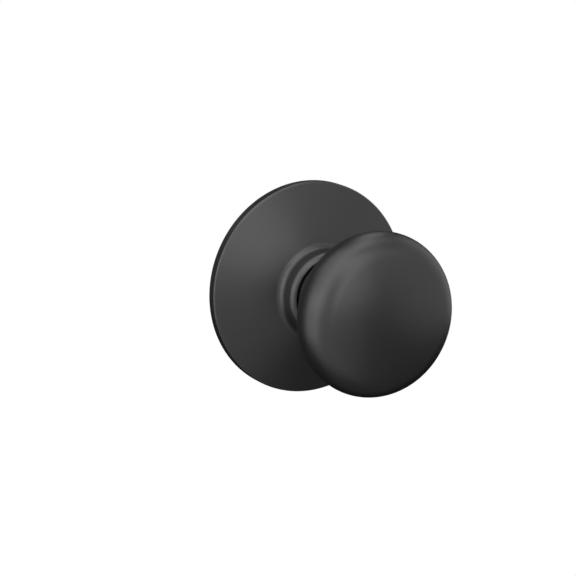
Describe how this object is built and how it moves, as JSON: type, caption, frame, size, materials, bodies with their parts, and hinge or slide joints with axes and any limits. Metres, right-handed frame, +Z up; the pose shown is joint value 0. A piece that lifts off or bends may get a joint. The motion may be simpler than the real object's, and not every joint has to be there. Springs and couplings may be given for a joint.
{
  "type": "door knob",
  "caption": "Outside half of a passage knob set: a hollow round knob on a sprung spindle, a conical rose, a mounting plate with tapped posts and a latch drive bar.",
  "frame": {"origin": "where the spindle's axis crosses the door face, midway between the middle of the knob's face and the tip of the drive bar", "axes": "-Y out of the door towards the user, +Y into the door along the drive bar, +Z up"},
  "size_m": [0.07, 0.1162, 0.07],
  "materials": {
    "matte_black": "matte black powder coat, even and slightly satin",
    "zinc_plate": "bright zinc plated steel, fine brushed grain",
    "diecast_zinc": "as-cast zinc alloy, dull with fine pitting",
    "spring_steel": "oiled spring steel, drawn and dark",
    "acetal": "natural moulded acetal, smooth and slightly waxy",
    "black_nylon": "black moulded nylon, fine moulded texture"
  },
  "bodies": {
    "chassis": {"mounting_plate": "zinc_plate", "mounting_post_left": "zinc_plate", "mounting_post_right": "zinc_plate", "spring_cage": "diecast_zinc", "cage_screw_right": "zinc_plate", "cage_screw_top": "zinc_plate", "cage_screw_left": "zinc_plate", "front_bush": "acetal", "rear_bush": "acetal", "rose": "matte_black", "rose_liner": "black_nylon", "collar_bush": "black_nylon", "return_spring": "spring_steel"},
    "spindle": {"spindle_tube": "zinc_plate", "drive_bar": "zinc_plate", "bar_retainer": "acetal", "spring_driver": "zinc_plate", "thrust_washer": "zinc_plate", "retaining_ring": "spring_steel", "knob_shank": "matte_black", "knob_liner": "zinc_plate", "liner_ring": "spring_steel", "knob_shell": "matte_black", "catch_spring": "spring_steel"},
    "catch": {"knob_catch": "spring_steel"}
  },
  "joints": [
    {"name": "knob_turn", "type": "hinge", "parent": "chassis", "child": "spindle", "pos_m": [0, 0, 0], "axis": [0, -1, 0], "range_deg": [-70, 70], "stiffness_Nm_per_rad": 0.25, "deforming": ["return_spring"]},
    {"name": "catch_press", "type": "slide", "parent": "spindle", "child": "catch", "axis": [0, 0, 1], "range_m": [0, 0.003], "stiffness_N_per_m": 600, "springref_m": -0.002, "deforming": ["catch_spring"]}
  ]
}
